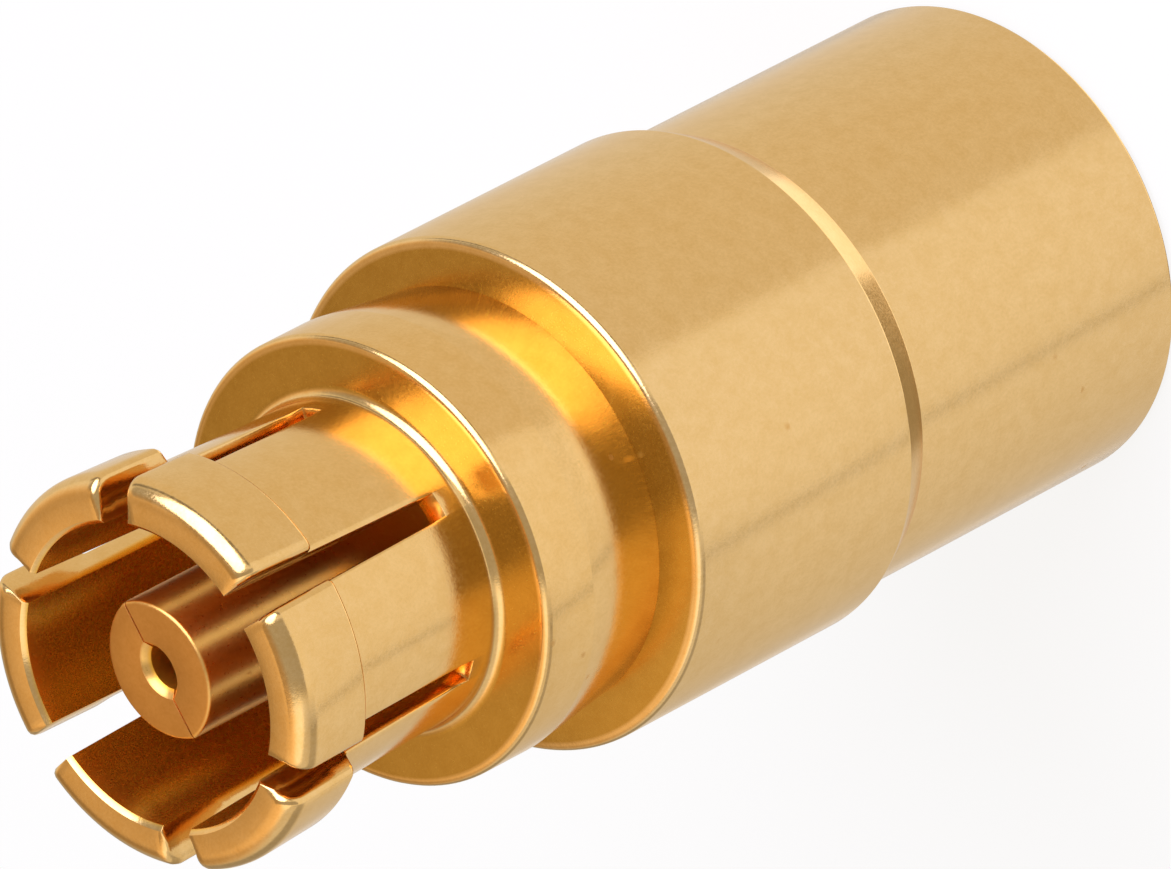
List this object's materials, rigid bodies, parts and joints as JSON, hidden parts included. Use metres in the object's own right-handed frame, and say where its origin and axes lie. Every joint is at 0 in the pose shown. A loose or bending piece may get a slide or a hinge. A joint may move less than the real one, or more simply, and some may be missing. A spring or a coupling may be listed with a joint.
{
  "type": "smpm coaxial connector",
  "caption": "Gold-plated push-on miniature coaxial connector with a sprung, slotted outer contact, a centre socket and a rear cable bore.",
  "frame": {"origin": "centre of the flat rear end, where the cable goes in", "axes": "+Z along the connector's axis towards the mating end, +X through the middle of one finger slot"},
  "size_m": [0.0032, 0.0032, 0.0074],
  "materials": {
    "gold_plate": "satin",
    "contact_gold_plate": "satin",
    "ptfe": "matte"
  },
  "bodies": {
    "root": {"body_shell": "gold_plate", "outer_contact": "gold_plate", "center_contact": "contact_gold_plate", "insulator_bead": "ptfe"}
  },
  "joints": []
}
